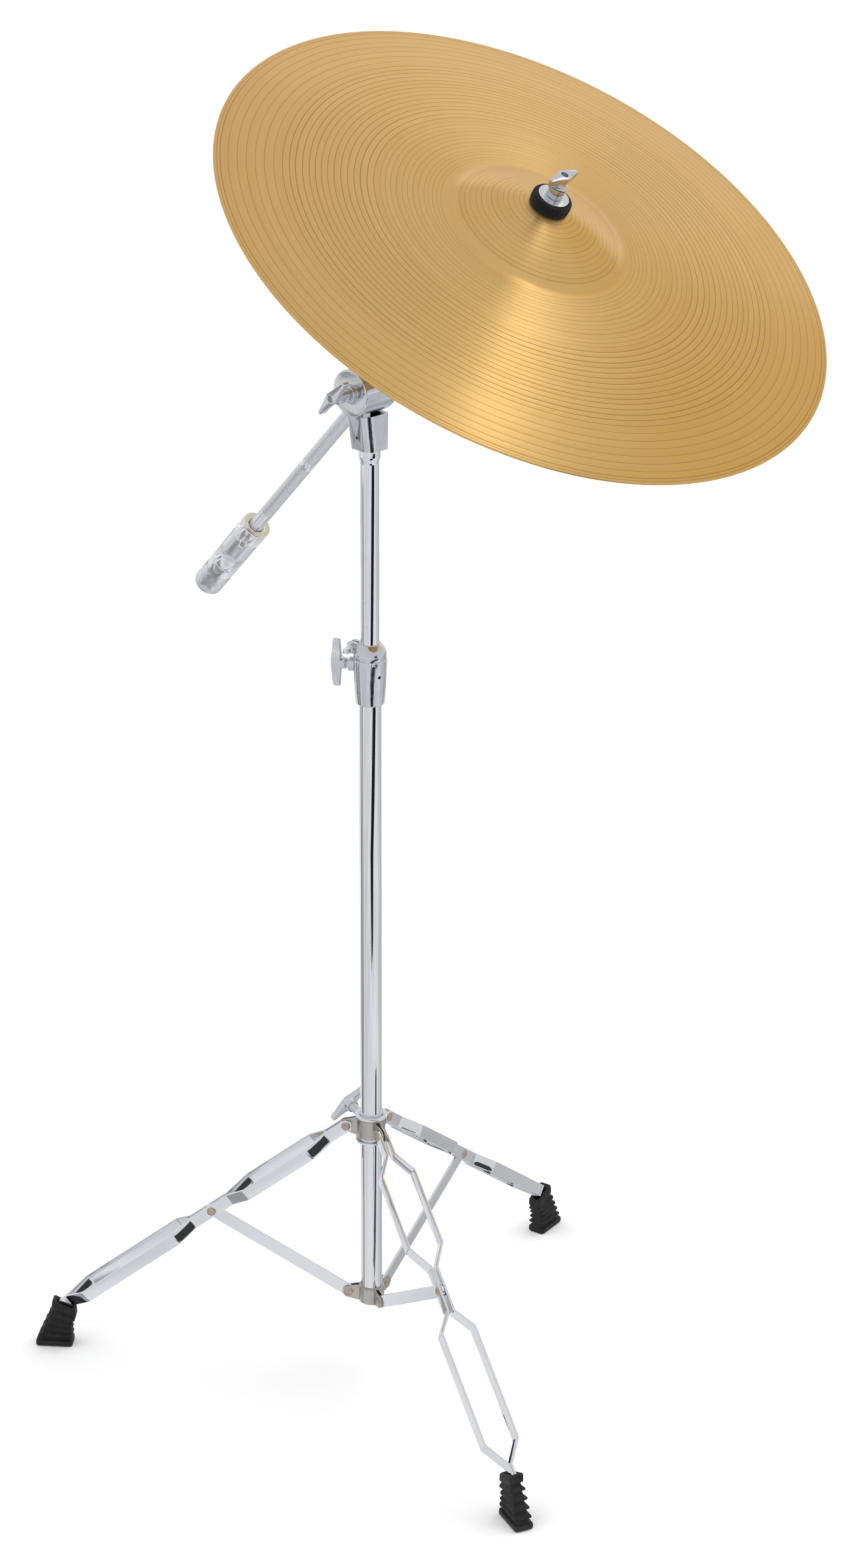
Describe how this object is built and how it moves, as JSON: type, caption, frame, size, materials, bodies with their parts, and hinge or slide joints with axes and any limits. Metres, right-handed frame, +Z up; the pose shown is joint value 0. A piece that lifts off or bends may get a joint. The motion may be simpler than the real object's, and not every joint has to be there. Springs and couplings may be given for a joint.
{
  "type": "ride cymbal on boom stand",
  "caption": "Lathed ride cymbal on a chrome boom stand with a counterweight, a telescoping column and a folding double-braced tripod.",
  "frame": {"origin": "on the floor, on the axis of the column", "axes": "+Z up along the column; +X is the horizontal direction in which the boom reaches out to the cymbal"},
  "size_m": [0.6239, 0.5519, 1.1857],
  "materials": {
    "chrome": "polished plate",
    "casting": "plated casting, slightly soft shine",
    "nickel": "dull nickel plate",
    "bronze": "bronze-tinted plate",
    "bolt_steel": "zinc-plated steel",
    "bronze_alloy": "lathed and lacquered bell bronze",
    "black_nylon": "matte",
    "felt": "coarse pressed felt",
    "foot_rubber": "matte ribbed rubber"
  },
  "bodies": {
    "base": {"base_tube": "chrome", "lower_bracket": "nickel", "bracket_rivets": "bronze", "height_collar": "casting", "height_sleeve": "black_nylon"},
    "height_bolt": {"height_wing_bolt": "casting"},
    "runner": {"runner_bush": "chrome", "runner_band": "nickel", "runner_rivets": "bronze"},
    "runner_bolt": {"runner_wing_bolt": "casting"},
    "lock": {"memory_lock": "casting"},
    "lock_screw": {"memory_lock_screw": "casting"},
    "guide": {"tube_guide_plug": "black_nylon"},
    "mast": {"upper_tube": "chrome", "tilter_socket": "casting"},
    "tilter": {"tilter_drum": "casting", "tilter_eye_bolt": "bolt_steel", "tilter_washer": "bolt_steel"},
    "tilter_nut": {"tilter_wing_nut": "casting"},
    "rod": {"boom_rod": "chrome"},
    "weight": {"counterweight": "chrome", "counterweight_ring": "chrome"},
    "weight_screw": {"counterweight_screw": "chrome"},
    "head_base": {"cymbal_tilter_base": "casting"},
    "head_bolt_nut": {"cymbal_tilter_nut": "casting"},
    "head": {"cymbal_tilter_head": "casting", "cymbal_tilter_bolt": "bolt_steel", "cymbal_post": "bolt_steel", "seat_washer": "bolt_steel", "post_sleeve": "black_nylon"},
    "rocker": {"lower_felt": "felt", "upper_felt": "felt"},
    "cymbal_plate": {"cymbal": "bronze_alloy"},
    "top_nut": {"cymbal_wing_nut": "casting", "top_washer": "bolt_steel"},
    "leg_1": {"leg_1_left_strip": "chrome", "leg_1_right_strip": "chrome", "join_rivets_1": "bronze", "foot_1": "foot_rubber"},
    "brace_1": {"brace_1": "chrome"},
    "leg_2": {"leg_2_left_strip": "chrome", "leg_2_right_strip": "chrome", "join_rivets_2": "bronze", "foot_2": "foot_rubber"},
    "brace_2": {"brace_2": "chrome"},
    "leg_3": {"leg_3_left_strip": "chrome", "leg_3_right_strip": "chrome", "join_rivets_3": "bronze", "foot_3": "foot_rubber"},
    "brace_3": {"brace_3": "chrome"}
  },
  "joints": [
    {"name": "tripod_fold", "type": "slide", "parent": "base", "child": "runner", "axis": [0, 0, 1], "range_m": [0, 0.127]},
    {"name": "tripod_bolt_turn", "type": "hinge", "parent": "runner", "child": "runner_bolt", "pos_m": [-0.03571, 0.013, 0.2354], "axis": [-0.9397, 0.342, 0], "continuous": true},
    {"name": "height_slide", "type": "slide", "parent": "base", "child": "guide", "axis": [0, 0, 1], "range_m": [0, 0.2]},
    {"name": "height_bolt_turn", "type": "hinge", "parent": "base", "child": "height_bolt", "pos_m": [-0.02175, -0.01014, 0.6675], "axis": [-0.9063, -0.4226, 0], "continuous": true},
    {"name": "mast_swivel", "type": "hinge", "parent": "guide", "child": "mast", "pos_m": [0, 0, 0.64], "axis": [0, 0, 1], "continuous": true},
    {"name": "memory_lock_slide", "type": "slide", "parent": "mast", "child": "lock", "axis": [0, 0, 1], "range_m": [0, 0.12]},
    {"name": "lock_screw_turn", "type": "hinge", "parent": "lock", "child": "lock_screw", "pos_m": [-0.01536, -0.00271, 0.6815], "axis": [0.1736, -0.9848, 0], "continuous": true},
    {"name": "boom_tilt", "type": "hinge", "parent": "mast", "child": "tilter", "pos_m": [0, 0.0035, 0.908], "axis": [0, 1, 0], "range_deg": [-8, 65]},
    {"name": "tilter_nut_turn", "type": "hinge", "parent": "tilter", "child": "tilter_nut", "pos_m": [0, -0.031, 0.908], "axis": [0, -1, 0], "continuous": true},
    {"name": "boom_slide", "type": "slide", "parent": "tilter", "child": "rod", "axis": [0.682, 0, 0.7314], "range_m": [-0.1, 0.15]},
    {"name": "counterweight_slide", "type": "slide", "parent": "rod", "child": "weight", "axis": [-0.682, 0, -0.7314], "range_m": [-0.1, 0.045]},
    {"name": "weight_screw_turn", "type": "hinge", "parent": "weight", "child": "weight_screw", "pos_m": [-0.14595, 0.0035, 0.75149], "axis": [0.3433, -0.8829, -0.3202], "continuous": true},
    {"name": "boom_roll", "type": "hinge", "parent": "rod", "child": "head_base", "pos_m": [0.14322, 0.0035, 1.06158], "axis": [0.682, 0, 0.7314], "continuous": true},
    {"name": "cymbal_tilt", "type": "hinge", "parent": "head_base", "child": "head", "pos_m": [0.15686, 0.0035, 1.07621], "axis": [0, 1, 0], "range_deg": [-30, 25]},
    {"name": "head_nut_turn", "type": "hinge", "parent": "head", "child": "head_bolt_nut", "pos_m": [0.15686, -0.005, 1.07621], "axis": [0, -1, 0], "continuous": true},
    {"name": "cymbal_swing", "type": "hinge", "parent": "head", "child": "rocker", "pos_m": [0.18916, 0.0035, 1.08892], "axis": [0.8563, 0, -0.5165], "range_deg": [-5, 5], "deforming": ["lower_felt", "upper_felt"]},
    {"name": "cymbal_spin", "type": "hinge", "parent": "rocker", "child": "cymbal_plate", "pos_m": [0.18916, 0.0035, 1.08892], "axis": [0.5165, 0, 0.8563], "continuous": true},
    {"name": "top_nut_turn", "type": "hinge", "parent": "head", "child": "top_nut", "pos_m": [0.19526, 0.0035, 1.09903], "axis": [0.5165, 0, 0.8563], "continuous": true},
    {"name": "leg_1_fold", "type": "hinge", "parent": "runner", "child": "leg_1", "pos_m": [0.02058, -0.00749, 0.2354], "axis": [0.342, 0.9397, 0], "range_deg": [0, 48.5]},
    {"name": "brace_1_fold", "type": "hinge", "parent": "base", "child": "brace_1", "pos_m": [0.01908, -0.00694, 0.0675], "axis": [-0.342, -0.9397, 0], "range_deg": [0, 52.8]},
    {"name": "leg_2_fold", "type": "hinge", "parent": "runner", "child": "leg_2", "pos_m": [-0.0038, 0.02157, 0.2354], "axis": [-0.9848, -0.1736, 0], "range_deg": [0, 48.5]},
    {"name": "brace_2_fold", "type": "hinge", "parent": "base", "child": "brace_2", "pos_m": [-0.00352, 0.01999, 0.0675], "axis": [0.9848, 0.1736, 0], "range_deg": [0, 52.8]},
    {"name": "leg_3_fold", "type": "hinge", "parent": "runner", "child": "leg_3", "pos_m": [-0.01678, -0.01408, 0.2354], "axis": [0.6428, -0.766, 0], "range_deg": [0, 48.5]},
    {"name": "brace_3_fold", "type": "hinge", "parent": "base", "child": "brace_3", "pos_m": [-0.01555, -0.01305, 0.0675], "axis": [-0.6428, 0.766, 0], "range_deg": [0, 52.8]}
  ],
  "couplings": [
    {"joint": "leg_1_fold", "follows": "tripod_fold", "rad_per_m": 6.6652},
    {"joint": "brace_1_fold", "follows": "tripod_fold", "rad_per_m": 7.2562},
    {"joint": "leg_2_fold", "follows": "tripod_fold", "rad_per_m": 6.6652},
    {"joint": "brace_2_fold", "follows": "tripod_fold", "rad_per_m": 7.2562},
    {"joint": "leg_3_fold", "follows": "tripod_fold", "rad_per_m": 6.6652},
    {"joint": "brace_3_fold", "follows": "tripod_fold", "rad_per_m": 7.2562}
  ]
}
